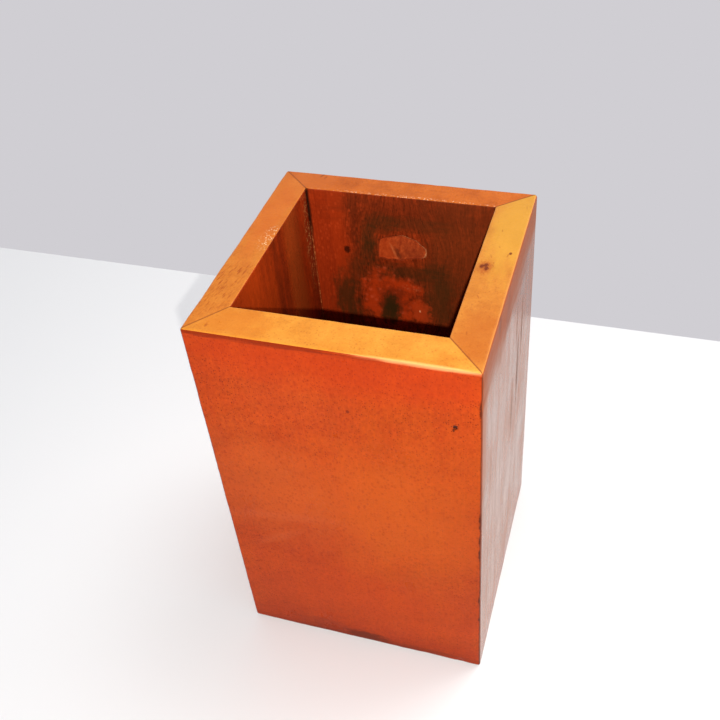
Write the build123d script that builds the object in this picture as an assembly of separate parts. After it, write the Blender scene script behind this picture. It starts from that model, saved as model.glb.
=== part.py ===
# Pen holder cup: a tall square box of four mitred boards round a captive base board.
#
# Millimetres, +Z up. The origin is the centre of the footprint, on the surface the cup stands on.
# The front board faces -Y and the right board faces +X. The grain of every wall board runs up.

from build123d import *

import os

# Outside of the assembled cup.
WIDTH = 70.0
DEPTH = 70.0
HEIGHT = 116.0

# The boards were thicknessed by hand, so each has its own thickness.
FRONT_THICKNESS = 10.0
RIGHT_THICKNESS = 9.5
REAR_THICKNESS = 8.0
LEFT_THICKNESS = 8.5

# Adhesive film in each mitre.
GLUE_FILM = 0.12

# Base board, captive in a groove that runs round the inside of all four walls.
BASE_THICKNESS = 6.0
BASE_RECESS = 4.0
GROOVE_DEPTH = 3.5
GROOVE_HEADROOM = 0.15
BASE_SIDE_CLEARANCE = 0.4
BASE_EDGE_CHAMFER = 0.5

# Arrises, taken off with abrasive paper after the box was glued up.
CORNER_RADIUS = 0.8
RIM_OUTER_RADIUS = 0.7
RIM_INNER_RADIUS = 0.4
FOOT_CHAMFER = 0.5

# How far a cutting tool reaches past the surface that it cuts.
OVERRUN = 1.0

# How close to a plane an edge counts as lying on it.
ON_PLANE = 0.01

# Plan coordinates of the outer faces and of the faces of the well.
OUTER_LEFT, OUTER_RIGHT = -WIDTH / 2, WIDTH / 2
OUTER_FRONT, OUTER_REAR = -DEPTH / 2, DEPTH / 2
WELL_LEFT = OUTER_LEFT + LEFT_THICKNESS
WELL_RIGHT = OUTER_RIGHT - RIGHT_THICKNESS
WELL_FRONT = OUTER_FRONT + FRONT_THICKNESS
WELL_REAR = OUTER_REAR - REAR_THICKNESS

# Each mitre runs from an outer corner to the well's corner behind it.
MITRES = {
    "front_left": (Vector(OUTER_LEFT, OUTER_FRONT), Vector(WELL_LEFT, WELL_FRONT)),
    "front_right": (Vector(OUTER_RIGHT, OUTER_FRONT), Vector(WELL_RIGHT, WELL_FRONT)),
    "rear_right": (Vector(OUTER_RIGHT, OUTER_REAR), Vector(WELL_RIGHT, WELL_REAR)),
    "rear_left": (Vector(OUTER_LEFT, OUTER_REAR), Vector(WELL_LEFT, WELL_REAR)),
}

# The two mitres of each wall, anticlockwise seen from above.
WALLS = {
    "front_wall": ("front_left", "front_right"),
    "right_wall": ("front_right", "rear_right"),
    "rear_wall": ("rear_right", "rear_left"),
    "left_wall": ("rear_left", "front_left"),
}


def block(left, right, front, rear, bottom, top):
    """A rectangular block between six planes."""
    centre = Pos((left + right) / 2, (front + rear) / 2, (bottom + top) / 2)
    return centre * Box(right - left, rear - front, top - bottom)


def well_block(reach, bottom, top):
    """A block over the plan of the well, reaching into all four walls by the same amount."""
    return block(
        WELL_LEFT - reach,
        WELL_RIGHT + reach,
        WELL_FRONT - reach,
        WELL_REAR + reach,
        bottom,
        top,
    )


def edges_at_height(solid, height):
    """The edges of a block that lie in the horizontal plane at that height."""
    return solid.edges().filter_by_position(Axis.Z, height, height)


def outer_block():
    """The cup's outside as a solid block, with its arrises taken off."""
    solid = block(OUTER_LEFT, OUTER_RIGHT, OUTER_FRONT, OUTER_REAR, 0, HEIGHT)
    solid = fillet(solid.edges().filter_by(Axis.Z), CORNER_RADIUS)
    solid = fillet(edges_at_height(solid, HEIGHT), RIM_OUTER_RADIUS)
    return chamfer(edges_at_height(solid, 0), FOOT_CHAMFER)


def on_well_outline(edge):
    """Whether the middle of an edge lies on the plan outline of the well."""
    middle = edge.center()
    on_side = min(abs(middle.X - WELL_LEFT), abs(middle.X - WELL_RIGHT)) < ON_PLANE
    on_end = min(abs(middle.Y - WELL_FRONT), abs(middle.Y - WELL_REAR)) < ON_PLANE
    return on_side or on_end


def open_tube():
    """The four walls in one piece: the outside less the well, with the rim's inner arris rounded."""
    tube = outer_block() - well_block(0, -OVERRUN, HEIGHT + OVERRUN)
    inner_rim = edges_at_height(tube, HEIGHT).filter_by(on_well_outline)
    return fillet(inner_rim, RIM_INNER_RADIUS)


def groove_cutter():
    """The groove for the base board, as the block that fills it on all four sides."""
    return well_block(GROOVE_DEPTH, BASE_RECESS, BASE_RECESS + BASE_THICKNESS + GROOVE_HEADROOM)


def mitre_line(name):
    """A mitre in plan: a point beyond its outer end, one beyond its inner end, and its normal."""
    outer, inner = MITRES[name]
    along = (outer - inner).normalized()
    return outer + along * OVERRUN, inner - along * OVERRUN, Vector(-along.Y, along.X)


def full_height(points):
    """A prism over a plan polygon, taller than the cup at both ends."""
    face = make_face(Polyline(*[(p.X, p.Y) for p in points], close=True))
    return Pos(0, 0, -OVERRUN) * extrude(face, HEIGHT + 2 * OVERRUN)


def wall_envelope(first, second):
    """The space between two mitres, drawn back from each by half the adhesive film."""
    outer_a, inner_a, normal_a = mitre_line(first)
    outer_b, inner_b, normal_b = mitre_line(second)
    half = GLUE_FILM / 2
    return full_height(
        [
            outer_a + normal_a * half,
            outer_b - normal_b * half,
            inner_b - normal_b * half,
            inner_a + normal_a * half,
        ]
    )


def film_envelope(name):
    """The thin slab of space that the adhesive fills in one mitre."""
    outer, inner, normal = mitre_line(name)
    half = normal * (GLUE_FILM / 2)
    return full_height([outer - half, outer + half, inner + half, inner - half])


def base_board():
    """The base board, sitting on the lower face of the groove."""
    reach = GROOVE_DEPTH - BASE_SIDE_CLEARANCE
    board = well_block(reach, BASE_RECESS, BASE_RECESS + BASE_THICKNESS)
    return chamfer(board.edges().filter_by(Axis.Z, reverse=True), BASE_EDGE_CHAMFER)


def build():
    """Every sub-part by node name."""
    tube = open_tube() - groove_cutter()
    parts = {wall: tube & wall_envelope(*ends) for wall, ends in WALLS.items()}
    for name in MITRES:
        parts[f"glue_{name}"] = tube & film_envelope(name)
    parts["base_board"] = base_board()
    return parts


def main():
    """Writes each sub-part to parts/ and prints its size."""
    os.makedirs("parts", exist_ok=True)
    for name, shape in build().items():
        shape.label = name
        export_step(shape, f"parts/{name}.step")
        size = shape.bounding_box().size
        print(f"{name}: {len(shape.solids())} solid, {shape.volume:.1f} mm3, "
              f"{size.X:.2f} x {size.Y:.2f} x {size.Z:.2f} mm")


main()
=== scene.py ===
import math
import random

import bpy
from mathutils import Matrix, Vector, noise


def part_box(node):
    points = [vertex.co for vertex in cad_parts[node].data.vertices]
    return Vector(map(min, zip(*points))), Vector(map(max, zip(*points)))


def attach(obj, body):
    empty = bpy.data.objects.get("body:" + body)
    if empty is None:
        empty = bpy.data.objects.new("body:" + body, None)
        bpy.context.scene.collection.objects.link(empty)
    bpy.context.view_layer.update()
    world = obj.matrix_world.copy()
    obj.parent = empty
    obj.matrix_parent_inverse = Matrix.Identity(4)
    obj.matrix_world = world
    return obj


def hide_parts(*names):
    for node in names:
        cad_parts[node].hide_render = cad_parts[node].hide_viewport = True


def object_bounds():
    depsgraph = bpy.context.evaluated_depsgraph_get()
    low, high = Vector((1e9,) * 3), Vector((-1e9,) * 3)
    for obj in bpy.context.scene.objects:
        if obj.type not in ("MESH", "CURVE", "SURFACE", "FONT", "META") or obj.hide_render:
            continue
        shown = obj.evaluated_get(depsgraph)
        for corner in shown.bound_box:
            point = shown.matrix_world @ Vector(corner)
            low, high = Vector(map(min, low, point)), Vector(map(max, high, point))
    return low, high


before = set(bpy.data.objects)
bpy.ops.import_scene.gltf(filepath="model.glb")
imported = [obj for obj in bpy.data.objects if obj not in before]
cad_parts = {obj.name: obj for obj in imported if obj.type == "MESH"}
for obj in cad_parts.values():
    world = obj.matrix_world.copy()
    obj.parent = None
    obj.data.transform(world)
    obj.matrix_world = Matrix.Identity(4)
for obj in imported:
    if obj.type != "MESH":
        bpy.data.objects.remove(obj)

cad_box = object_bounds()

# ---------------------------------------------------------------------------
# Table, light and camera.
# The cup stands on a white laminate table in a pale room, brightest near the horizon and dim
# overhead. A large panel behind it to the right lights it softly, and a small lamp beside the lens
# reaches into the well, where the front board's rim throws a sharp shadow.

MM = 0.001


def colour(code):
    """An sRGB hex colour as a linear colour with full alpha."""
    shares = [int(code[i:i + 2], 16) / 255 for i in (1, 3, 5)]
    return (*[c / 12.92 if c <= 0.04045 else ((c + 0.055) / 1.055) ** 2.4 for c in shares], 1.0)


def add(tree, kind, inputs, **settings):
    """Adds a shader node with its settings, and gives each input a value or a link."""
    node = tree.nodes.new("ShaderNode" + kind)
    for name, value in settings.items():
        setattr(node, name, value)
    for name, value in inputs.items():
        if isinstance(value, bpy.types.NodeSocket):
            tree.links.new(value, node.inputs[name])
        else:
            node.inputs[name].default_value = value
    return node


def empty_material(name):
    """A node material with nothing in it yet."""
    material = bpy.data.materials.new(name)
    material.use_nodes = True
    material.node_tree.nodes.clear()
    return material


def sheet_of_points(name, points, faces):
    """A mesh object from its points and faces."""
    mesh = bpy.data.meshes.new(name)
    mesh.from_pydata(points, [], faces)
    thing = bpy.data.objects.new(name, mesh)
    bpy.context.collection.objects.link(thing)
    return thing


TABLE_REACH = 1.2
TABLE_REAR_EDGE = 0.124

# Matt white laminate: an even, slightly warm white with only a trace of shine.
laminate = empty_material("white_laminate")
tree = laminate.node_tree
surface = add(tree, "BsdfPrincipled", {
    "Base Color": colour("#eaecec"), "Roughness": 0.55, "IOR": 1.45})
add(tree, "OutputMaterial", {"Surface": surface.outputs["BSDF"]})

table = sheet_of_points("table", [
    (-TABLE_REACH, -TABLE_REACH, 0), (TABLE_REACH, -TABLE_REACH, 0),
    (TABLE_REACH, TABLE_REAR_EDGE, 0), (-TABLE_REACH, TABLE_REAR_EDGE, 0)], [(0, 1, 2, 3)])
table.data.materials.append(laminate)

room = bpy.data.worlds.new("pale_room")
room.use_nodes = True
room.node_tree.nodes.clear()
tree = room.node_tree
# Rise is the sine of the angle above the horizon.
direction = add(tree, "TexCoord", {})
rise = add(tree, "VectorMath", {0: direction.outputs["Generated"], 1: (0, 0, 1)}, operation="DOT_PRODUCT")
walls = add(tree, "MapRange", {
    "Value": rise.outputs["Value"], "From Min": -0.3, "From Max": 0.0, "To Min": 1.0, "To Max": 2.0})
ceiling = add(tree, "MapRange", {
    "Value": rise.outputs["Value"], "From Min": 0.45, "From Max": 0.65, "To Min": 1.0, "To Max": 0.17})
strength = add(tree, "Math", {0: walls.outputs["Result"], 1: ceiling.outputs["Result"]}, operation="MULTIPLY")
glow = add(tree, "Background", {"Color": colour("#d0ced3"), "Strength": strength.outputs[0]})
add(tree, "OutputWorld", {"Surface": glow.outputs["Background"]})
bpy.context.scene.world = room


def panel(name, place, aim, width, power, tint):
    """A square light panel of that width, facing the point it is aimed at."""
    light = bpy.data.lights.new(name, "AREA")
    light.size = width
    light.energy = power
    light.color = colour(tint)[:3]
    lamp = bpy.data.objects.new(name, light)
    lamp.location = place
    lamp.rotation_euler = (Vector(aim) - Vector(place)).to_track_quat("-Z", "Y").to_euler()
    bpy.context.collection.objects.link(lamp)


CUP_FOOT = (0, 0, 0)
PANEL_PLACE = (0.18, 0.26, 0.66)
PANEL_WIDTH = 0.4
PANEL_WATTS = 2.7
panel("ceiling_panel", PANEL_PLACE, CUP_FOOT, PANEL_WIDTH, PANEL_WATTS, "#ffffff")

# The lamp is a few millimetres wide, so that the rim's shadow in the well is sharp.
WELL_MIDDLE = (0, 0, 0.075)
LAMP_PLACE = (0.0627, -0.175, 0.2375)
LAMP_WIDTH = 0.003
LAMP_WATTS = 0.54
panel("lamp_by_the_lens", LAMP_PLACE, WELL_MIDDLE, LAMP_WIDTH, LAMP_WATTS, "#fffcf6")

CAMERA_PLACE = (0.0621, -0.1731, 0.2485)
LENS_MM = 46.33
SENSOR_MM = 36.0
AZIMUTH, ELEVATION, ROLL = (math.radians(angle) for angle in (20.79, 41.24, -5.74))

ahead = Vector((
    -math.sin(AZIMUTH) * math.cos(ELEVATION),
    math.cos(AZIMUTH) * math.cos(ELEVATION),
    -math.sin(ELEVATION)))
level = ahead.cross(Vector((0, 0, 1))).normalized()
upward = level.cross(ahead)
across = level * math.cos(ROLL) + upward * math.sin(ROLL)
upright = upward * math.cos(ROLL) - level * math.sin(ROLL)

lens = bpy.data.cameras.new("camera")
lens.lens = LENS_MM
lens.sensor_width = SENSOR_MM
lens.shift_x, lens.shift_y = -0.0075, -0.019
camera = bpy.data.objects.new("camera", lens)
camera.matrix_world = Matrix.Translation(CAMERA_PLACE) @ Matrix(
    (across, upright, -ahead)).transposed().to_4x4()
bpy.context.collection.objects.link(camera)
bpy.context.scene.camera = camera
bpy.context.scene.view_settings.view_transform = "Standard"

# ---------------------------------------------------------------------------
# Front board.
# A plain hardwood board, grain upright, mitred on both long edges and sanded by hand after
# gluing, so its arrises are eased unevenly. Stained orange and varnished.

low, high = (Vector(corner) / MM for corner in cad_box)
height = high.z
well_low = Vector((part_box("left_wall")[1].x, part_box("front_wall")[1].y)) / MM
well_high = Vector((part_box("right_wall")[0].x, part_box("rear_wall")[0].y)) / MM
groove_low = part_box("base_board")[0].z / MM
GROOVE_HEADROOM = 0.15
GROOVE_SIDE_CLEARANCE = 0.4
groove_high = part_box("base_board")[1].z / MM + GROOVE_HEADROOM
groove_depth = well_low.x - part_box("base_board")[0].x / MM + GROOVE_SIDE_CLEARANCE

GLUE_FILM = 0.12
JOINT_STAIN = 0.32
JOINT_GAPS = (106.0, 33.0)
ARRIS_RADIUS = 0.75
RIM_INNER_RADIUS = 0.4

# Mesh steps: fine at arrises, which lie within the border, close round small relief, coarse elsewhere.
FINE_STEP = 0.13
CLOSE_STEP = 0.2
COARSE_STEP = 0.75
BORDER = 1.1

# How much of the radius a point may lie beyond it and still count as on the surface.
ON_SURFACE = 0.0001

OUTER = {
    "front_left": Vector((low.x, low.y)), "front_right": Vector((high.x, low.y)),
    "rear_right": Vector((high.x, high.y)), "rear_left": Vector((low.x, high.y))}
INNER = {
    "front_left": Vector((well_low.x, well_low.y)), "front_right": Vector((well_high.x, well_low.y)),
    "rear_right": Vector((well_high.x, well_high.y)), "rear_left": Vector((well_low.x, well_high.y))}

FACE, RIM, WELL, HIDDEN = range(4)
SHARP_DEGREES = 40


def stations(start, end, close_at=()):
    """Stations from start to end, close together near both ends and near each value in close_at."""
    run = abs(end - start)
    way = 1 if end > start else -1
    done = [0.0]
    while done[-1] < run:
        at = done[-1]
        place = start + way * at
        if at < BORDER or at > run - BORDER - COARSE_STEP:
            step = FINE_STEP
        elif any(a - BORDER < place < b + BORDER for a, b in close_at):
            step = CLOSE_STEP
        else:
            step = COARSE_STEP
        done.append(at + step)
    share = run / done[-1]
    return [start + way * at * share for at in done]


def wandering(place, wavelength, seed):
    """Smooth noise between about -1 and 1, with that wavelength in millimetres."""
    return noise.noise(Vector(place) / wavelength + Vector((seed * 17.3, 0, seed * 5.1)))


def eased(place):
    """The place on the sanded outside of the box, and how far the sanding moved it."""
    # Hand sanding took more off in some places than in others, in waves of 9 and 2.3 mm.
    radius = ARRIS_RADIUS * (1 + 0.3 * wandering(place, 9.0, 1) + 0.15 * wandering(place, 2.3, 2))
    core = Vector([min(max(c, a + radius), b - radius) for c, a, b in zip(place, low, high)])
    away = place - core
    if away.length <= radius * (1 + ON_SURFACE):
        return place, 0.0
    moved = core + away * (radius / away.length)
    return moved, (place - moved).length


def profile(thickness, close_face, close_well):
    """The board's closed section as (depth, height, kind) points."""
    points = [(0.0, z, FACE) for z in stations(0, height, close_face)[:-1]]
    points += [(d, height, RIM) for d in stations(0, thickness)[:-1]]
    points += [(thickness, z, WELL) for z in stations(height, groove_high, close_well)[:-1]]
    back = thickness - groove_depth
    points += [(thickness, groove_high, HIDDEN), (back, groove_high, HIDDEN), (back, groove_low, HIDDEN)]
    points += [(thickness, z, HIDDEN) for z in stations(groove_low, 0)[:-1]]
    points += [(d, 0.0, HIDDEN) for d in stations(thickness, 0)[:-1]]
    return points


def board(name, first, second, materials, relief, close_along=(), close_face=(), close_well=(), torn=None):
    """A mitred board between two corners, with its relief and torn patch modelled.

    relief(place, kind) gives how far a point sinks into the wood, in millimetres. torn(place) gives
    the share of bare torn wood at a point, kept on the mesh for the board's material. The close
    stretches, along the board from its first corner and up its face and well, get smaller steps."""
    a_out, b_out, a_in, b_in = OUTER[first], OUTER[second], INNER[first], INNER[second]
    along = (b_out - a_out).normalized()
    inward = Vector((-along.y, along.x))
    thickness = (a_in - a_out).dot(inward)
    # Each mitre is drawn back by half the adhesive film, measured along the board.
    offsets = [
        GLUE_FILM / 2 / abs(along.cross((inner - outer).normalized()))
        for outer, inner in ((a_out, a_in), (b_out, b_in))]
    normals = {FACE: Vector((*(-inward), 0)), RIM: Vector((0, 0, 1)), WELL: Vector((*inward, 0))}
    width = (b_out - a_out).length
    columns = stations(0, width, close_along)
    section = profile(thickness, close_face, close_well)
    lengths = [(b_out - a_out).dot(along), (b_in - a_in).dot(along)]
    starts = [0.0, (a_in - a_out).dot(along)]
    points, wear, bare, joint = [], [], [], []
    for depth, z, kind in section:
        share = depth / thickness
        start = starts[0] + (starts[1] - starts[0]) * share + offsets[0]
        end = starts[0] + lengths[0] + (starts[1] + lengths[1] - starts[0] - lengths[0]) * share - offsets[1]
        for column in columns:
            at = start + (end - start) * column / width
            d, h = depth, z
            # The rim's inner arris is rounded in the board's own section.
            radius = RIM_INNER_RADIUS * (1 + 0.4 * wandering((at, z, thickness), 6.0, 3))
            over = Vector((depth - (thickness - radius), z - (height - radius)))
            worn = 0.0
            if over.x > 0 and over.y > 0 and over.length > radius:
                worn = over.length - radius
                over *= radius / over.length
                d, h = thickness - radius + over.x, height - radius + over.y
            plan = a_out + along * at + inward * d
            place, moved = eased(Vector((plan.x, plan.y, h)))
            if kind != HIDDEN:
                place = place - normals[kind] * relief(place, kind)
            points.append(place * MM)
            wear.append(moved + worn)
            joint.append(max(0.0, 1 - min(at - start, end - at) / JOINT_STAIN))
            bare.append(torn(place) if torn and kind == WELL else 0.0)
    rows, count = len(section), len(columns)
    faces, kinds = [], []
    for row in range(rows):
        below, above = row * count, (row + 1) % rows * count
        for c in range(count - 1):
            faces.append((below + c, below + c + 1, above + c + 1, above + c))
            kinds.append(section[row][2])
    # The two mitred ends, hidden in the joint.
    faces.append([row * count for row in range(rows)])
    faces.append([row * count + count - 1 for row in reversed(range(rows))])
    kinds += [HIDDEN, HIDDEN]
    piece = sheet_of_points(name, points, faces)
    mesh = piece.data
    for material in materials:
        mesh.materials.append(material)
    mesh.polygons.foreach_set("material_index", kinds)
    mesh.polygons.foreach_set("use_smooth", [True] * len(kinds))
    mesh.attributes.new("wear", "FLOAT", "POINT").data.foreach_set("value", wear)
    mesh.attributes.new("bare", "FLOAT", "POINT").data.foreach_set("value", bare)
    mesh.attributes.new("joint", "FLOAT", "POINT").data.foreach_set("value", joint)
    mesh.set_sharp_from_angle(angle=math.radians(SHARP_DEGREES))
    return piece


def varnished_wood(name, pale, mid, dark, pore, grain_mm=(3.0, 3.0, 42.0), gloss=0.3, pores=0.5,
                   clouds=0.6, pore_mm=(0.8, 0.8, 1.3), figure=0.07, fleck=0.16, fibres=0.07, knots=(),
                   streaky=0.0):
    """Stained, varnished hardwood: colour and bump so far, for marks to be laid over it.

    The eye gets upright bands and fibres, soft clouds of stain, and short dark pores. Clouds is how far
    the stain's clouds outweigh the bands. Pores, figure, fleck and fibres are how strongly each shows.
    Gloss is the roughness of the varnish, so a lower one is glossier, and streaky adds to it along the
    paler bands. Each knot is its middle and its reach in mm."""
    material = empty_material(name)
    tree = material.node_tree
    place = add(tree, "TexCoord", {})
    mm = add(tree, "VectorMath", {0: place.outputs["Object"], "Scale": 1 / MM}, operation="SCALE").outputs[0]
    cloud_at = add(tree, "VectorMath", {0: mm, 1: (16.0, 16.0, 24.0)}, operation="DIVIDE").outputs[0]
    cloud = add(tree, "TexNoise", {"Vector": cloud_at, "Scale": 1.0, "Detail": 5.0, "Roughness": 0.6})
    # The grain parts round each knot: points beside it read the wood nearer to its middle.
    flow = mm
    for middle, reach in knots:
        off = add(tree, "VectorMath", {0: mm, 1: middle}, operation="SUBTRACT").outputs[0]
        scaled = add(tree, "VectorMath", {0: off, 1: reach}, operation="DIVIDE").outputs[0]
        away = add(tree, "VectorMath", {0: scaled}, operation="LENGTH").outputs["Value"]
        pull = add(tree, "MapRange", {
            "Value": away, "From Min": 0.0, "From Max": 1.6, "To Min": -0.7, "To Max": 0.0},
            interpolation_type="SMOOTHSTEP").outputs["Result"]
        sideways = add(tree, "VectorMath", {0: off, 1: (1, 1, 0)}, operation="MULTIPLY").outputs[0]
        drawn = add(tree, "VectorMath", {0: sideways, "Scale": pull}, operation="SCALE").outputs[0]
        flow = add(tree, "VectorMath", {0: flow, 1: drawn}, operation="ADD").outputs[0]
    bend = add(tree, "VectorMath", {0: cloud.outputs["Color"], "Scale": 5.0}, operation="SCALE").outputs[0]
    bent = add(tree, "VectorMath", {0: flow, 1: bend}, operation="ADD").outputs[0]
    band_at = add(tree, "VectorMath", {0: bent, 1: grain_mm}, operation="DIVIDE").outputs[0]
    band = add(tree, "TexNoise", {"Vector": band_at, "Scale": 1.0, "Detail": 4.0, "Roughness": 0.55})
    fibre_at = add(tree, "VectorMath", {0: flow, 1: (0.35, 0.35, 7.0)}, operation="DIVIDE").outputs[0]
    fibre = add(tree, "TexNoise", {"Vector": fibre_at, "Scale": 1.0, "Detail": 3.0, "Roughness": 0.6})
    blend = add(tree, "MapRange", {"Value": cloud.outputs["Fac"], "From Min": 0.2, "From Max": 0.8})
    tone = add(tree, "Mix", {
        0: clouds, 2: band.outputs["Fac"], 3: blend.outputs["Result"]}, data_type="FLOAT")
    low_tone = add(tree, "MapRange", {"Value": tone.outputs[0], "From Min": 0.2, "From Max": 0.5})
    high_tone = add(tree, "MapRange", {"Value": tone.outputs[0], "From Min": 0.5, "From Max": 0.85})
    base = add(tree, "Mix", {
        0: low_tone.outputs["Result"], 6: colour(dark), 7: colour(mid)}, data_type="RGBA")
    base = add(tree, "Mix", {
        0: high_tone.outputs["Result"], 6: base.outputs[2], 7: colour(pale)}, data_type="RGBA")
    # Pores: cells pore_mm apart, each dark at its middle, and about half of them left out. Real pores are
    # 0.2 mm wide, too fine to show, so they are drawn coarser.
    pore_at = add(tree, "VectorMath", {0: mm, 1: pore_mm}, operation="DIVIDE").outputs[0]
    cell = add(tree, "TexVoronoi", {"Vector": pore_at, "Scale": 1.0, "Randomness": 1.0})
    pick = add(tree, "VectorMath", {0: cell.outputs["Color"], 1: (1, 0, 0)}, operation="DOT_PRODUCT")
    chosen = add(tree, "MapRange", {"Value": pick.outputs["Value"], "From Min": 0.25, "From Max": 0.75})
    dot = add(tree, "MapRange", {
        "Value": cell.outputs["Distance"], "From Min": 0.14, "From Max": 0.4, "To Min": pores, "To Max": 0.0})
    pore_mask = add(tree, "Math", {
        0: dot.outputs["Result"], 1: chosen.outputs["Result"]}, operation="MULTIPLY")
    base = add(tree, "Mix", {0: pore_mask.outputs[0], 6: base.outputs[2], 7: colour(pore)}, data_type="RGBA")
    # Figure: soft bands that cross the grain at a slant. Flecks: about 1 mm, where stain took unevenly.
    slant = add(tree, "VectorRotate", {"Vector": bent, "Axis": (0, 1, 0), "Angle": math.radians(24)},
                rotation_type="AXIS_ANGLE").outputs[0]
    figure_at = add(tree, "VectorMath", {0: slant, 1: (34.0, 34.0, 6.5)}, operation="DIVIDE").outputs[0]
    curl = add(tree, "TexNoise", {"Vector": figure_at, "Scale": 1.0, "Detail": 3.0})
    fleck_at = add(tree, "VectorMath", {0: mm, 1: (1.0, 1.0, 1.4)}, operation="DIVIDE").outputs[0]
    flecks = add(tree, "TexNoise", {"Vector": fleck_at, "Scale": 1.0, "Detail": 5.0, "Roughness": 0.7})
    shades = ((fibre, fibres), (curl, figure), (flecks, fleck))
    shaded = base.outputs[2]
    for pattern, depth in shades:
        shade = add(tree, "MapRange", {
            "Value": pattern.outputs["Fac"], "From Min": 0.3, "From Max": 0.7,
            "To Min": 1 - depth, "To Max": 1 + depth})
        shaded = add(tree, "VectorMath", {
            0: shaded, "Scale": shade.outputs["Result"]}, operation="SCALE").outputs[0]
    return {"material": material, "tree": tree, "mm": mm, "colour": shaded, "fibre": fibre.outputs["Fac"],
            "pore": pore_mask.outputs[0], "cloud": cloud.outputs["Fac"], "band": band.outputs["Fac"],
            "gloss": gloss, "streaky": streaky, "dull": None}


def stain(wood, centre, reach, tint, strength, soft=0.35, ragged=0.3, axis=None, turn=0, dull=0.0,
          dots=None):
    """Lays a stain over the wood: an uneven patch round a centre, reaching so far each way in mm.

    The reach through the surface only has to be deeper than its relief: 8 mm on boards, 3 mm on rims.
    With an axis, the patch is turned about it by that many degrees. Dull roughens the varnish
    there. Dots, a cell size in mm, breaks the patch into specks about half as wide."""
    tree = wood["tree"]
    off = add(tree, "VectorMath", {0: wood["mm"], 1: centre}, operation="SUBTRACT").outputs[0]
    if axis:
        off = add(tree, "VectorRotate", {"Vector": off, "Axis": axis, "Angle": math.radians(turn)},
                  rotation_type="AXIS_ANGLE").outputs[0]
    scaled = add(tree, "VectorMath", {0: off, 1: reach}, operation="DIVIDE").outputs[0]
    size = add(tree, "VectorMath", {0: scaled}, operation="LENGTH").outputs["Value"]
    grain = add(tree, "TexNoise", {"Vector": scaled, "Scale": 2.3, "Detail": 4.0, "Roughness": 0.6})
    rough = add(tree, "MapRange", {
        "Value": grain.outputs["Fac"], "From Min": 0.3, "From Max": 0.7, "To Min": -ragged, "To Max": ragged})
    edge = add(tree, "Math", {0: size, 1: rough.outputs["Result"]}, operation="ADD").outputs[0]
    mask = add(tree, "MapRange", {
        "Value": edge, "From Min": 1 - soft, "From Max": 1 + soft, "To Min": strength, "To Max": 0.0},
        interpolation_type="SMOOTHSTEP").outputs["Result"]
    if dots:
        cell_at = add(tree, "VectorMath", {0: off, 1: dots}, operation="DIVIDE").outputs[0]
        cell = add(tree, "TexVoronoi", {"Vector": cell_at, "Scale": 1.0, "Randomness": 1.0})
        pick = add(tree, "VectorMath", {0: cell.outputs["Color"], 1: (1, 0, 0)}, operation="DOT_PRODUCT")
        chosen = add(tree, "MapRange", {"Value": pick.outputs["Value"], "From Min": 0.3, "From Max": 0.8})
        speck = add(tree, "MapRange", {
            "Value": cell.outputs["Distance"], "From Min": 0.2, "From Max": 0.55,
            "To Min": 1.0, "To Max": 0.0})
        both = add(tree, "Math", {
            0: speck.outputs["Result"], 1: chosen.outputs["Result"]}, operation="MULTIPLY")
        mask = add(tree, "Math", {0: mask, 1: both.outputs[0]}, operation="MULTIPLY").outputs[0]
    laid = add(tree, "Mix", {0: mask, 6: wood["colour"], 7: colour(tint)}, data_type="RGBA")
    wood["colour"] = laid.outputs[2]
    if dull:
        more = add(tree, "Math", {0: mask, 1: dull}, operation="MULTIPLY").outputs[0]
        if wood["dull"]:
            more = add(tree, "Math", {0: wood["dull"], 1: more}, operation="ADD").outputs[0]
        wood["dull"] = more


GLUED_ARRIS = "#5f1f0b"
GLUE_SEEPED = "#4a1d0c"
RIM_ARRIS_FOOT = height - 1.6
RIM_ARRIS_HEAD = height - 0.9


def ease_arrises(wood, worn_tint, share=0.75, seep=0.6):
    """Sanding has worn the rim's arrises to that tint, and glue has darkened the upright ones.

    Share is how far the worn tint covers the wood. Seep is how far glue has darkened it along each
    joint."""
    tree = wood["tree"]
    wear = add(tree, "Attribute", {}, attribute_name="wear")
    worn = add(tree, "MapRange", {
        "Value": wear.outputs["Fac"], "From Min": 0.02, "From Max": 0.28, "To Min": 0.0, "To Max": share})
    level = add(tree, "VectorMath", {0: wood["mm"], 1: (0, 0, 1)}, operation="DOT_PRODUCT").outputs["Value"]
    at_rim = add(tree, "MapRange", {
        "Value": level, "From Min": RIM_ARRIS_FOOT, "From Max": RIM_ARRIS_HEAD})
    arris = add(tree, "Mix", {
        0: at_rim.outputs["Result"], 6: colour(GLUED_ARRIS), 7: colour(worn_tint)}, data_type="RGBA")
    eased_wood = add(tree, "Mix", {
        0: worn.outputs["Result"], 6: wood["colour"], 7: arris.outputs[2]}, data_type="RGBA")
    joint = add(tree, "Attribute", {}, attribute_name="joint")
    seeped = add(tree, "Math", {0: joint.outputs["Fac"], 1: seep}, operation="MULTIPLY")
    seeped_wood = add(tree, "Mix", {
        0: seeped.outputs[0], 6: eased_wood.outputs[2], 7: colour(GLUE_SEEPED)}, data_type="RGBA")
    wood["colour"] = seeped_wood.outputs[2]


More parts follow.
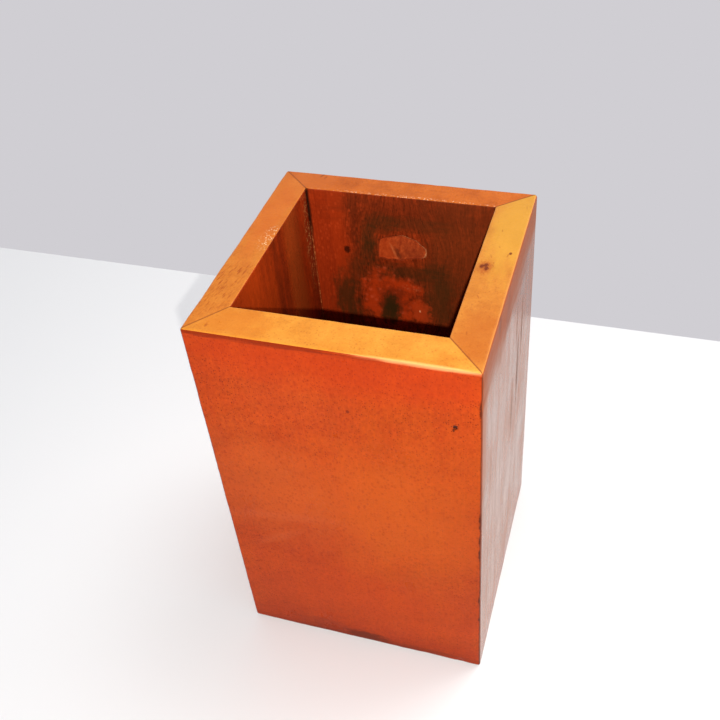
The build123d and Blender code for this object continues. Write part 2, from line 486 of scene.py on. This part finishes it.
def varnish(wood, shine=0.12, bump=0.35, haze=0.0):
    """Finishes the wood with its varnish, and gives the material.

    Shine is the strength of its reflection, and haze a bloom that shows only at a slant."""
    tree = wood["tree"]
    # Orange peel in the varnish, about 1.5 mm across.
    peel_at = add(tree, "VectorMath", {0: wood["mm"], 1: (1.5, 1.5, 1.5)}, operation="DIVIDE").outputs[0]
    peel = add(tree, "TexNoise", {"Vector": peel_at, "Scale": 1.0, "Detail": 3.0})
    sunk = add(tree, "Math", {0: wood["fibre"], 1: wood["pore"]}, operation="SUBTRACT").outputs[0]
    height_map = add(tree, "Math", {0: sunk, 1: peel.outputs["Fac"]}, operation="ADD").outputs[0]
    bumped = add(tree, "Bump", {"Height": height_map, "Strength": bump, "Distance": 0.00006})
    rough = add(tree, "MapRange", {
        "Value": wood["cloud"], "From Min": 0.3, "From Max": 0.7,
        "To Min": wood["gloss"] - 0.05, "To Max": wood["gloss"] + 0.08}).outputs["Result"]
    if wood["streaky"]:
        streak = add(tree, "MapRange", {
            "Value": wood["band"], "From Min": 0.4, "From Max": 0.65,
            "To Min": 0.0, "To Max": wood["streaky"]})
        rough = add(tree, "Math", {0: rough, 1: streak.outputs["Result"]}, operation="ADD").outputs[0]
    if wood["dull"]:
        rough = add(tree, "Math", {0: rough, 1: wood["dull"]}, operation="ADD", use_clamp=True).outputs[0]
    surface = add(tree, "BsdfPrincipled", {
        "Base Color": wood["colour"], "Roughness": rough, "IOR": 1.48,
        "Specular IOR Level": shine, "Specular Tint": colour("#fff3e2"),
        "Sheen Weight": haze, "Sheen Roughness": 0.35, "Sheen Tint": colour("#fff0d0"),
        "Normal": bumped.outputs["Normal"]})
    add(tree, "OutputMaterial", {"Surface": surface.outputs["BSDF"]})
    return wood["material"]


# Raw wood in the joints, the groove and under the cup: dull brown, with only a trace of shine.
raw = varnished_wood("raw_wood", "#8a5230", "#75401f", "#5a2f17", "#3a1c0e", pores=0.3)
ease_arrises(raw, "#7d4526")
raw_wood = varnish(raw)

# Orange-stained hardwood, brushed with varnish: warm, softly clouded, finely pored, with little gloss.
front_face = varnished_wood("front_varnished", "#ac420c", "#a3380c", "#98320b", "#541004", pores=0.85,
                            pore_mm=(0.55, 0.55, 0.66), fleck=0.22, figure=0.09)
stain(front_face, (-24, low.y, 66), (16, 8, 18), "#b5521e", 0.4, soft=0.6)
stain(front_face, (2, low.y, 62), (22, 8, 20), "#c0541a", 0.45, soft=0.7)
stain(front_face, (-12, low.y, 46), (12, 8, 9), "#9c3212", 0.25, soft=0.7)
stain(front_face, (2, low.y, 22), (28, 8, 14), "#b23e10", 0.45, soft=0.7)
stain(front_face, (20, low.y, 66), (20, 8, 30), "#b2500e", 0.4, soft=0.7)
stain(front_face, (-11, low.y, 98), (14, 8, 9), "#b84a1c", 0.25, soft=0.7)
stain(front_face, (-21, low.y, 43.5), (7.5, 8, 1.2), "#bd5b30", 0.24, soft=0.9, axis=(0, 1, 0), turn=33)
stain(front_face, (-20, low.y, 52.7), (15, 8, 1.6), "#bd5830", 0.22, soft=0.9, axis=(0, 1, 0), turn=8)
stain(front_face, (5, low.y, 113), (45, 8, 9), "#ad300a", 0.45, soft=0.6)
# Darker towards the foot: partly the wood's own variation, partly painted shade where the board meets the
# table.
stain(front_face, (0, low.y, -2), (50, 8, 10), "#96290a", 0.45, soft=0.6)
stain(front_face, (-10, low.y, 60), (60, 8, 60), "#7c1a06", 0.34, soft=0.7, dots=(0.85, 0.85, 1.1))
stain(front_face, (0.7, low.y, 2.6), (6, 8, 1.9), "#4f1c0c", 0.7, soft=0.5, ragged=0.5)
stain(front_face, (-14, low.y, 5), (9, 8, 1.6), "#7c2a12", 0.4, ragged=0.5)
# Painted shade: a dark line along the very foot, where the board meets the table.
stain(front_face, (2, low.y, 0.6), (34, 8, 2.3), "#5c1e0c", 0.6, soft=0.7, ragged=0.5)
stain(front_face, (-6, low.y, 4), (26, 8, 4), "#6b2410", 0.5, soft=0.7, dots=(0.9, 0.9, 0.9))
stain(front_face, (28.9, low.y, 98.5), (0.55, 8, 0.75), "#2b0f08", 0.95, soft=0.2, ragged=0.6)
stain(front_face, (28.5, low.y, 97.6), (0.3, 8, 0.4), "#3a140a", 0.8, soft=0.3)
stain(front_face, (3.7, low.y, 97.9), (0.45, 8, 0.5), "#6b200c", 0.8, soft=0.3)
dice = random.Random(11)
for z in (*JOINT_GAPS, *[dice.uniform(4, 112) for _ in range(7)]):
    stain(front_face, (high.x - 0.2, low.y, z), (0.5, 8, dice.uniform(0.8, 2.4)), "#2e0f07", 0.8, soft=0.5)
ease_arrises(front_face, "#98300d", 0.8)
# A painted highlight: a pale band along the right half of the front arris, where its rounding catches the
# light.
stain(front_face, (23, low.y, height), (15, 8, 0.75), "#e89a62", 0.75, soft=0.5, ragged=0.25)
# Painted shade: a thin dark line just under the left half of the front arris.
stain(front_face, (-16, low.y, height - 0.6), (24, 8, 0.8), "#5c1807", 0.6, soft=0.5, ragged=0.5)
front_varnished = varnish(front_face, shine=0.07)


def rim_wood_and_sheen(name, pale, mid, dark):
    """The rim: end grain under the same varnish, dotted with cut pores. It is paler and yellower than the
    faces, partly in the wood and partly as a painted sheen from the light above.
    """
    return varnished_wood(name, pale, mid, dark, "#8f4316", grain_mm=(6.0, 6.0, 6.0), gloss=0.28, pores=0.36,
                          clouds=0.2, pore_mm=(0.7, 0.7, 0.7), figure=0.04, fleck=0.07)


# The front rim is the yellowest, with one dark fleck by the left joint.
front_rim = rim_wood_and_sheen("front_rim_varnished", "#d19239", "#c5802d", "#b26820")
stain(front_rim, (-29.4, -32.4, height), (0.35, 0.6, 3), "#7a3214", 0.7, ragged=0.6)
stain(front_rim, (-24, -30, height), (9, 5, 3), "#b8621a", 0.6, soft=0.7)
ease_arrises(front_rim, "#c9812f", 0.5, seep=0.5)
# The same painted highlight, on the rim's side of the front arris.
stain(front_rim, (22, low.y, height), (14, 0.6, 3), "#eab070", 0.6, soft=0.6, ragged=0.3)
front_rim_varnished = varnish(front_rim)

# The well faces of the front and right boards: plain dark red-brown, nearly always in shadow.
front_well = varnished_wood("front_well_varnished", "#a8400f", "#8a300c", "#66200a", "#3f1508", pores=0.4)
ease_arrises(front_well, "#a55422")
front_well_varnished = varnish(front_well)


def front_relief(place, kind):
    """Faintly wavy from hand planing, with a small pit near the right edge and a chip at the foot."""
    sunk = 0.035 * wandering(place, 22.0, 5)
    if kind == FACE:
        pit = math.hypot((place.x - 28.9) / 0.65, (place.z - 98.3) / 0.9)
        sunk += 0.35 * max(0.0, 1 - pit)
        splinter = math.hypot((place.x - 29.2) / 1.6, (place.z - 0.9) / 1.1)
        sunk += 0.3 * max(0.0, 1 - splinter)
    return sunk


front_wall = board(
    "front_board", "front_left", "front_right",
    (front_varnished, front_rim_varnished, front_well_varnished, raw_wood), front_relief,
    close_along=[(63.0, 64.8)], close_face=[(97.2, 99.4)])
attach(front_wall, "root")
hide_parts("front_wall")

# ---------------------------------------------------------------------------
# Right board.
# The same stained and varnished hardwood, a little thinner. Its face carries a few upright dark
# streaks in the upper half, and its rim a reddish knot.

# Browner wood under a glossier coat: seen at a slant it mirrors the table and reads as grey.
right_face = varnished_wood("right_varnished", "#984a18", "#883f15", "#70300f", "#47190b", pores=0.45,
                            gloss=0.22, pore_mm=(0.5, 0.5, 0.9), streaky=0.07)
stain(right_face, (high.x, 12, 74), (8, 1.3, 10), "#42200f", 0.6, soft=0.7, ragged=0.6, dull=0.4)
stain(right_face, (high.x, 17, 86), (8, 1.0, 8), "#42200f", 0.55, soft=0.7, ragged=0.6, dull=0.35)
stain(right_face, (high.x, 5, 66), (8, 1.2, 9), "#5a2c14", 0.45, soft=0.7, ragged=0.6, dull=0.25)
stain(right_face, (high.x, 9, 92), (8, 0.9, 6), "#5a2c14", 0.45, soft=0.7, ragged=0.6, dull=0.3)
stain(right_face, (high.x, -34, 98), (8, 4, 20), "#a94e18", 0.5, soft=0.7, dull=0.3)
# Along the top the varnish is duller, and the wood is painted a deeper orange where its reflection is dimmer:
# partly real, partly a painted reflection.
stain(right_face, (high.x, 0, 114), (8, 50, 8), "#963f10", 0.8, soft=0.7, dull=0.55)
stain(right_face, (high.x, -5, 106), (8, 3.0, 8.0), "#7a3114", 0.5, soft=0.5)
stain(right_face, (high.x, -16, 113.5), (8, 1.6, 3.0), "#6b2912", 0.6)
# Darker towards the foot: partly the wood's own variation, partly painted shade where the board meets the
# table.
stain(right_face, (high.x, 0, -2), (8, 50, 11), "#8a3012", 0.6, soft=0.6)
ease_arrises(right_face, "#b9622c")
right_varnished = varnish(right_face, shine=0.375, bump=0.2, haze=0.035)

# End grain: golden, with a small reddish knot, a dark fleck, and fine slanting ticks.
right_rim = rim_wood_and_sheen("right_rim_varnished", "#c48134", "#b8712a", "#a25b20")
stain(right_rim, (31.5, -24, height), (5.5, 9, 3), "#a55018", 0.55, soft=0.6)
stain(right_rim, (32, 22, height), (6, 20, 3), "#cf9a34", 0.6, soft=0.6)
stain(right_rim, (27.9, 1.3, height), (1.5, 2.2, 3), "#9c4418", 0.6, soft=0.6, ragged=0.5)
for x, y in ((27.2, 1.5), (28.4, 0.8), (28.1, 2.1)):
    stain(right_rim, (x, y, height), (0.55, 0.7, 3), "#5c1c0e", 0.85, soft=0.4, ragged=0.6)
stain(right_rim, (32.9, 7.7, height), (0.36, 0.5, 3), "#6a2810", 0.9, soft=0.3)
TICKS = 11
dice = random.Random(23)
for _ in range(TICKS):
    tick = (dice.uniform(26.5, 34), dice.uniform(-28, 31), height)
    stain(right_rim, tick, (0.16, dice.uniform(0.3, 0.9), 3), "#8a4216", dice.uniform(0.25, 0.6),
          axis=(0, 0, 1), turn=dice.uniform(-40, 10))
ease_arrises(right_rim, "#d59248", 0.6, seep=0.5)
right_rim_varnished = varnish(right_rim)


def right_relief(place, kind):
    """Faintly wavy, with two small gaps in the joint on the front arris."""
    sunk = 0.035 * wandering(place, 20.0, 7)
    if kind == FACE and place.y < low.y + 2:
        for gap in JOINT_GAPS:
            sunk += 0.25 * max(0.0, 1 - abs(place.z - gap) / 2.2) * max(0.0, 1 - (place.y - low.y) / 1.2)
    return sunk


right_wall = board(
    "right_board", "front_right", "rear_right",
    (right_varnished, right_rim_varnished, front_well_varnished, raw_wood), right_relief)
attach(right_wall, "root")
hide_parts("right_wall")

# ---------------------------------------------------------------------------
# Rear board.
# The knotty board. In the well it shows a torn patch, a ring-shaped knot below it, and dark swirls
# round both.

# The torn patch, in x and z on the face of the well, and how wide its sloping edge is.
TORN_OUTLINE = [
    (-7.3, 95.4), (-7.2, 98.6), (-6.5, 101.9), (-4.2, 102.9), (-1.4, 103.7), (1.4, 103.8), (4.0, 102.6),
    (6.0, 100.7), (6.9, 98.6), (6.5, 97.2), (4.6, 96.5), (2.2, 96.1), (-0.8, 95.5), (-4.6, 95.1)]
TORN_EDGE = 0.5


def torn_share(place):
    """How far inside the torn patch's outline a point is, from 0 outside to 1 past its sloping edge."""
    spot = Vector((place.x + 0.45 * wandering(place, 2.4, 8), place.z + 0.45 * wandering(place, 2.1, 9)))
    inside, nearest = False, 1e9
    for start, end in zip(TORN_OUTLINE, TORN_OUTLINE[1:] + TORN_OUTLINE[:1]):
        a, b = Vector(start), Vector(end)
        if (a.y > spot.y) != (b.y > spot.y) and spot.x < a.x + (spot.y - a.y) / (b.y - a.y) * (b.x - a.x):
            inside = not inside
        side = b - a
        foot = a + side * min(1.0, max(0.0, (spot - a).dot(side) / side.length_squared))
        nearest = min(nearest, (spot - foot).length)
    return min(1.0, nearest / TORN_EDGE) if inside else 0.0


def rear_relief(place, kind):
    """Faintly wavy, torn out where the patch is, and sunk a little over the ring-shaped knot."""
    sunk = 0.04 * wandering(place, 18.0, 11)
    if kind == WELL:
        sunk += 0.22 * torn_share(place)
        ring = math.hypot(place.x + 3.5, place.z - 80)
        sunk += 0.18 * math.exp(-(ring / 4.0) ** 2) - 0.08 * math.exp(-((ring - 8.5) / 2.0) ** 2)
    return sunk


# Red-brown stain over straight, close grain with open pores.
rear_face = varnished_wood("rear_varnished", "#b5501a", "#a43f13", "#8a2e0e", "#551808", pores=0.75,
                           grain_mm=(2.6, 2.6, 55.0), clouds=0.35, fleck=0.2, figure=0.1)
ease_arrises(rear_face, "#d98545", 0.5)
rear_varnished = varnish(rear_face)

# End grain: redder than the other rims, with two short dark splits, and pale crumbs on its inner arris.
rear_rim = rim_wood_and_sheen("rear_rim_varnished", "#c46a28", "#b65c20", "#9c4a1a")
stain(rear_rim, (-24.0, 33.9, height), (0.3, 0.9, 3), "#4a2014", 0.8, soft=0.4, axis=(0, 0, 1), turn=25)
stain(rear_rim, (-22.8, 33.0, height), (0.28, 0.8, 3), "#6a2c14", 0.7, soft=0.4, axis=(0, 0, 1), turn=10)
stain(rear_rim, (2, 31, height), (34, 1.0, 3), "#8e3f18", 0.35, soft=0.8, dots=(3.0, 0.7, 3.0))
stain(rear_rim, (-27, 31, height), (7, 5, 3), "#b5602a", 0.5, soft=0.6)
ease_arrises(rear_rim, "#c77b40", 0.6, seep=0.5)
stain(rear_rim, (4, well_high.y + 0.3, height), (23, 0.6, 3), "#f0bc98", 0.85, soft=0.5,
      dots=(0.45, 0.45, 0.45))
rear_rim_varnished = varnish(rear_rim, shine=0.06)

# Dark, fibrous, knotty wood: an olive swirl round the torn patch, and a red ring with a dark heart
# below it. The grain parts round both.
TORN_KNOT = ((0, well_high.y, 99), (14, 9, 12))
RING_KNOT = ((-3.5, well_high.y, 79), (15, 9, 13))
SWIRL_OLIVE = "#33240f"
HEART_OLIVE = "#33220d"
rear_well = varnished_wood("rear_well_varnished", "#9c3411", "#7c290d", "#571b09", "#2a0d07",
                           grain_mm=(1.5, 1.5, 26.0), pores=0.6, pore_mm=(0.55, 0.55, 2.4), clouds=0.3,
                           fibres=0.38, figure=0.1, fleck=0.4, knots=(TORN_KNOT, RING_KNOT))

# Each stretch of the swirl: x, z, how far it reaches across and up, and its strength.
SWIRL = [(4.0, 107.5, 8.0, 2.2, 0.35), (-5.5, 107.0, 4.2, 3.0, 0.5), (-9.6, 102.5, 2.4, 4.5, 0.6),
         (-10.2, 97.0, 2.6, 4.5, 0.6), (-14.0, 90.5, 3.0, 4.4, 0.5), (-17.8, 79.2, 3.6, 9.0, 0.8),
         (1.0, 90.8, 9.0, 2.8, 0.6), (9.0, 93.5, 4.0, 2.4, 0.4), (12.0, 88.0, 4.2, 5.0, 0.35)]
stain(rear_well, (-22, well_high.y, 95), (6, 8, 40), "#a8300e", 0.55, soft=0.5)
stain(rear_well, (-18.4, well_high.y, 100), (1.9, 8, 30), "#a8340f", 0.5, soft=0.5)
stain(rear_well, (-13.8, well_high.y, 106), (1.2, 8, 12), "#4a1c0b", 0.45, soft=0.5)
stain(rear_well, (17, well_high.y, 99), (11, 8, 22), "#683014", 0.5, soft=0.6)
stain(rear_well, (3, well_high.y, 112), (24, 8, 5), "#54200d", 0.45, soft=0.7, ragged=0.4)
stain(rear_well, (-20, well_high.y, 95), (8, 8, 30), "#c2441c", 0.4, soft=0.6, ragged=0.5,
      dots=(0.9, 0.9, 1.4))
for x, z, reach_x, reach_z, strength in SWIRL:
    stain(rear_well, (x, well_high.y, z), (reach_x, 8, reach_z), SWIRL_OLIVE, strength, soft=0.6, ragged=0.5)
stain(rear_well, (9.6, well_high.y, 81), (4.2, 8, 8.5), "#432a12", 0.6, soft=0.6, ragged=0.4)
stain(rear_well, (-4.4, well_high.y, 80.5), (8.2, 8, 9.0), "#b4360f", 0.85, soft=0.3, ragged=0.45)
stain(rear_well, (-4.2, well_high.y, 82.0), (8.0, 8, 8.4), "#c84e2c", 0.7, soft=0.5, ragged=0.5,
      dots=(1.5, 1.5, 1.5))
stain(rear_well, (-4.0, well_high.y, 80.4), (4.4, 8, 5.6), "#6a240e", 0.7, soft=0.4, ragged=0.5)
stain(rear_well, (-4.5, well_high.y, 79.0), (2.0, 8, 4.0), HEART_OLIVE, 0.9, soft=0.5, ragged=0.45)
stain(rear_well, (-4.9, well_high.y, 75.6), (3.0, 8, 4.2), HEART_OLIVE, 0.9, soft=0.5, ragged=0.45)
stain(rear_well, (4.6, well_high.y, 77.0), (2.6, 8, 4.2), "#b43c16", 0.7, soft=0.45, ragged=0.6)
stain(rear_well, (3.5, well_high.y, 86), (4.0, 8, 1.6), "#b85a34", 0.6, soft=0.5, dots=(0.7, 0.7, 0.7))
# A painted glint: a tiny pale spot standing in for a highlight on the wood.
stain(rear_well, (4.1, well_high.y, 77.8), (0.25, 8, 0.38), "#f0a878", 0.75, soft=0.4)
stain(rear_well, (-16.4, well_high.y, 97), (0.9, 8, 1.2), "#260d06", 0.85, soft=0.3)
stain(rear_well, (well_low.x, well_high.y, 110), (0.6, 8, 13), "#1e0c06", 0.8, soft=0.5, ragged=0.3)
# Bare torn wood: rough, matt and red-orange, with one pale streak beside a dark split, both slanting.
LEAN = 20
tree = rear_well["tree"]
torn = add(tree, "Attribute", {}, attribute_name="bare").outputs["Fac"]
torn_at = add(tree, "VectorRotate", {
    "Vector": rear_well["mm"], "Axis": (0, 1, 0), "Angle": math.radians(-14)},
    rotation_type="AXIS_ANGLE").outputs[0]
shred_at = add(tree, "VectorMath", {0: torn_at, 1: (1.3, 1.3, 2.0)}, operation="DIVIDE").outputs[0]
shreds = add(tree, "TexNoise", {"Vector": shred_at, "Scale": 1.0, "Detail": 5.0, "Roughness": 0.65})
shred_tone = add(tree, "MapRange", {"Value": shreds.outputs["Fac"], "From Min": 0.32, "From Max": 0.68})
shredded = add(tree, "Mix", {
    0: shred_tone.outputs["Result"], 6: colour("#80280c"), 7: colour("#bc4e20")}, data_type="RGBA")
bared = {**rear_well, "colour": shredded.outputs[2]}
stain(bared, (-5.2, well_high.y, 98), (2.6, 8, 4.5), "#b03c0f", 0.5, soft=0.6)
stain(bared, (3.4, well_high.y, 97.5), (3.6, 8, 3.4), "#7c2c12", 0.5, soft=0.7, ragged=0.5)
stain(bared, (-2.8, well_high.y, 98.2), (0.3, 8, 2.2), "#c06c3c", 0.45, soft=0.8, ragged=0.5,
      axis=(0, 1, 0), turn=LEAN)
stain(bared, (-1.5, well_high.y, 97.4), (0.6, 8, 2.0), "#54200d", 0.7, soft=0.7, ragged=0.5,
      axis=(0, 1, 0), turn=LEAN)
# Its sloping lip is painted dark all round as shade, and pale along the upper right as a painted highlight,
# on the side that faces the light. Half of x plus z, in mm, rises towards that side.
diagonal = add(tree, "VectorMath", {
    0: rear_well["mm"], 1: (0.5, 0, 0.5)}, operation="DOT_PRODUCT").outputs["Value"]
lit_side = add(tree, "MapRange", {"Value": diagonal, "From Min": 50.8, "From Max": 52.3})
ragged = add(tree, "MapRange", {"Value": shreds.outputs["Fac"], "From Min": 0.38, "From Max": 0.55})
pale = add(tree, "Math", {0: lit_side.outputs["Result"], 1: ragged.outputs["Result"]}, operation="MULTIPLY")
lip_shade_and_highlight = add(tree, "Mix", {0: pale.outputs[0], 6: colour("#74260c"), 7: colour("#cc8454")}, data_type="RGBA")
within = add(tree, "MapRange", {"Value": torn, "From Min": 0.25, "From Max": 0.7})
torn_tone = add(tree, "Mix", {
    0: within.outputs["Result"], 6: lip_shade_and_highlight.outputs[2], 7: bared["colour"]}, data_type="RGBA")
edge = add(tree, "MapRange", {"Value": torn, "From Min": 0.02, "From Max": 0.25})
torn_over = add(tree, "Mix", {
    0: edge.outputs["Result"], 6: rear_well["colour"], 7: torn_tone.outputs[2]}, data_type="RGBA")
rear_well["colour"] = torn_over.outputs[2]
# Nothing in the patch is varnished.
rear_well["dull"] = add(tree, "Math", {0: edge.outputs["Result"], 1: 0.6}, operation="MULTIPLY").outputs[0]
ease_arrises(rear_well, "#96481c")
rear_well_varnished = varnish(rear_well)

rear_wall = board(
    "rear_board", "rear_right", "rear_left",
    (rear_varnished, rear_rim_varnished, rear_well_varnished, raw_wood), rear_relief,
    close_along=[(27.0, 43.5)], close_well=[(93.5, 105.0)], torn=torn_share)
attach(rear_wall, "root")
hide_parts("rear_wall")

# ---------------------------------------------------------------------------
# Left board.
# Plainer wood than the rear board. In the well it shows upright bands, and its rim carries dark
# slanting dashes and a chip on the inner arris.

# Red-brown stain like the rear board's, a little paler and cloudier.
left_face = varnished_wood("left_varnished", "#b9521a", "#a84012", "#8e2f0e", "#551808", pores=0.75,
                           clouds=0.5, fleck=0.2, figure=0.1)
ease_arrises(left_face, "#dd8a4a", 0.5)
left_varnished = varnish(left_face)

# End grain: short dark dashes towards the front, and pale crumbs round the chip.
left_rim = rim_wood_and_sheen("left_rim_varnished", "#c67d32", "#b96c27", "#a2571f")
stain(left_rim, (-30.6, 18, height), (5, 20, 3), "#c25c22", 0.5, soft=0.7)
stain(left_rim, (-31.2, -14, height), (3.4, 6.0, 3), "#863010", 0.8, soft=0.5, ragged=0.4,
      axis=(0, 0, 1), turn=10, dots=(0.42, 2.6, 1.0))
stain(left_rim, (-31.0, -23, height), (4, 6, 3), "#8c3c14", 0.65, soft=0.7,
      axis=(0, 0, 1), turn=10, dots=(0.42, 1.9, 1.0))
ease_arrises(left_rim, "#cf8844", 0.6, seep=0.5)
stain(left_rim, (well_low.x - 1.0, 3.3, height), (2.0, 4.6, 3), "#f2cca0", 0.85, soft=0.5, ragged=0.4,
      dots=(0.5, 0.5, 0.5))
left_rim_varnished = varnish(left_rim, shine=0.06)

# Upright red-brown bands. By the rear corner there is a dark line, then tan grains of dried glue.
left_well = varnished_wood("left_well_varnished", "#a4380d", "#86290b", "#621b09", "#341004",
                           grain_mm=(3.2, 3.2, 70.0), pores=0.35, clouds=0.25, fibres=0.26, figure=0.1,
                           fleck=0.3)
stain(left_well, (well_low.x, 13.5, 90), (8, 4.6, 60), "#984518", 0.45, soft=0.5, ragged=0.15)
stain(left_well, (well_low.x, 6.2, 90), (8, 1.3, 60), "#5c1c0a", 0.45, soft=0.6)
stain(left_well, (well_low.x, 2.0, 90), (8, 1.4, 60), "#4a1608", 0.5, soft=0.6)
stain(left_well, (well_low.x, well_high.y, 110), (8, 0.9, 15), "#1e0c06", 0.85, soft=0.5, ragged=0.3)
stain(left_well, (well_low.x, 24.6, 100), (8, 2.2, 14), "#c89458", 0.9, soft=0.5, dots=(0.5, 0.5, 0.6))
stain(left_well, (well_low.x, -14, 95), (8, 11, 44), "#b43e0c", 0.4, soft=0.7)
ease_arrises(left_well, "#a9531f")
left_well_varnished = varnish(left_well)


CHIP_Y = 3.3


def left_relief(place, kind):
    """Faintly wavy, with a chip out of the rim's inner arris."""
    sunk = 0.035 * wandering(place, 21.0, 13)
    if kind == RIM:
        chip = math.hypot((place.x - well_low.x) / 1.3, (place.y - CHIP_Y) / 1.5)
        sunk += 0.35 * max(0.0, 1 - chip)
    return sunk


left_wall = board(
    "left_board", "rear_left", "front_left",
    (left_varnished, left_rim_varnished, left_well_varnished, raw_wood), left_relief)
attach(left_wall, "root")
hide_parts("left_wall")

# ---------------------------------------------------------------------------
# Adhesive in the mitres.
# Wood glue, brown where it has dried in the joint. It shows as a thin dark line across the rim and
# down each arris.

# Dried wood glue: a brown line, uneven in tone and only slightly glossy.
glue = empty_material("dried_wood_glue")
tree = glue.node_tree
place = add(tree, "TexCoord", {})
lumps = add(tree, "TexNoise", {"Vector": place.outputs["Object"], "Scale": 900.0, "Detail": 3.0})
tone = add(tree, "Mix", {
    0: lumps.outputs["Fac"], 6: colour("#5a200c"), 7: colour("#9a4a1c")}, data_type="RGBA")
bumped = add(tree, "Bump", {"Height": lumps.outputs["Fac"], "Strength": 0.4, "Distance": 0.0001})
surface = add(tree, "BsdfPrincipled", {
    "Base Color": tone.outputs[2], "Roughness": 0.5, "IOR": 1.47, "Specular IOR Level": 0.15,
    "Normal": bumped.outputs["Normal"]})
add(tree, "OutputMaterial", {"Surface": surface.outputs["BSDF"]})
for name in ("glue_front_left", "glue_front_right", "glue_rear_right", "glue_rear_left"):
    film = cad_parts[name]
    film.data.materials.clear()
    film.data.materials.append(glue)

# ---------------------------------------------------------------------------
# Squeezed-out adhesive.
# A thin bead of the same glue stands in each inner corner of the well, where it was pressed out
# when the box was cramped up and never cleaned off. It has dried lumpy and tan, dark near the rim.

BEAD_RADIUS = 0.24
BEAD_SIDES = 9
BEAD_STEP = 0.45

# How far the bead stands out of the corner, and stops short of the base board and the rim.
BEAD_STAND = 0.1
BEAD_FOOT = 0.2
BEAD_HEAD = 0.6

# Matt and grainy: tan grains in a brown crust, nearly black over the last centimetre below the rim.
bead_glue = empty_material("dried_glue_bead")
tree = bead_glue.node_tree
place = add(tree, "TexCoord", {})
grains = add(tree, "TexNoise", {
    "Vector": place.outputs["Object"], "Scale": 1400.0, "Detail": 4.0, "Roughness": 0.7})
spread = add(tree, "MapRange", {"Value": grains.outputs["Fac"], "From Min": 0.48, "From Max": 0.66})
tan = add(tree, "Mix", {
    0: spread.outputs["Result"], 6: colour("#842f10"), 7: colour("#cc7840")}, data_type="RGBA")
level = add(tree, "VectorMath", {0: place.outputs["Object"], 1: (0, 0, 1 / MM)}, operation="DOT_PRODUCT")
upper = add(tree, "MapRange", {"Value": level.outputs["Value"], "From Min": 99.0, "From Max": 106.0})
tone = add(tree, "Mix", {
    0: upper.outputs["Result"], 6: tan.outputs[2], 7: colour("#2c1007")}, data_type="RGBA")
bumped = add(tree, "Bump", {"Height": grains.outputs["Fac"], "Strength": 0.5, "Distance": 0.0001})
surface = add(tree, "BsdfPrincipled", {
    "Base Color": tone.outputs[2], "Roughness": 0.85, "IOR": 1.47, "Specular IOR Level": 0.05,
    "Normal": bumped.outputs["Normal"]})
add(tree, "OutputMaterial", {"Surface": surface.outputs["BSDF"]})


def bead(corner, seed):
    """A lumpy upright bead of glue in one inner corner, closed at both ends."""
    inner = INNER[corner]
    middle = (well_low + well_high) / 2
    inward = (middle - inner).normalized() * BEAD_STAND
    bottom, top = groove_high + BEAD_FOOT, height - BEAD_HEAD
    count = int((top - bottom) / BEAD_STEP)
    points = []
    for ring in range(count + 1):
        z = bottom + (top - bottom) * ring / count
        # It swells and thins in waves of 5 mm and 1.1 mm, and wanders from side to side.
        swell = 0.75 + 0.5 * wandering((0, 0, z), 5.0, seed) + 0.45 * wandering((0, 0, z), 1.1, seed + 1)
        radius = BEAD_RADIUS * max(0.12, swell)
        sway = Vector((wandering((3, 0, z), 9.0, seed), wandering((7, 0, z), 9.0, seed))) * 0.08
        for side in range(BEAD_SIDES):
            turn = 2 * math.pi * side / BEAD_SIDES
            spot = inner + inward + sway + Vector((math.cos(turn), math.sin(turn))) * radius
            points.append(Vector((spot.x, spot.y, z)) * MM)
    faces = [
        (r * BEAD_SIDES + s, r * BEAD_SIDES + (s + 1) % BEAD_SIDES,
         (r + 1) * BEAD_SIDES + (s + 1) % BEAD_SIDES, (r + 1) * BEAD_SIDES + s)
        for r in range(count) for s in range(BEAD_SIDES)]
    faces.append(tuple(reversed(range(BEAD_SIDES))))
    faces.append(tuple(count * BEAD_SIDES + s for s in range(BEAD_SIDES)))
    piece = sheet_of_points(f"glue_bead_{corner}", points, faces)
    piece.data.materials.append(bead_glue)
    piece.data.polygons.foreach_set("use_smooth", [True] * len(faces))
    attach(piece, "root")


BEAD_SEED = 40
for number, corner in enumerate(INNER):
    bead(corner, BEAD_SEED + 3 * number)

# ---------------------------------------------------------------------------
# Base board.
# A thin board captive in the groove. It shows only from below and, in shadow, at the foot of the
# well.

# Dull brown wood under a thin varnish, its grain running from side to side, with fine pores.
base = varnished_wood("base_wood", "#8d5a35", "#784726", "#5e351b", "#3c1f10",
                      grain_mm=(42.0, 3.0, 3.0), pores=0.35)
ease_arrises(base, "#8a5632")
base_material = varnish(base)
base_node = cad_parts["base_board"]
base_node.data.materials.clear()
base_node.data.materials.append(base_material)
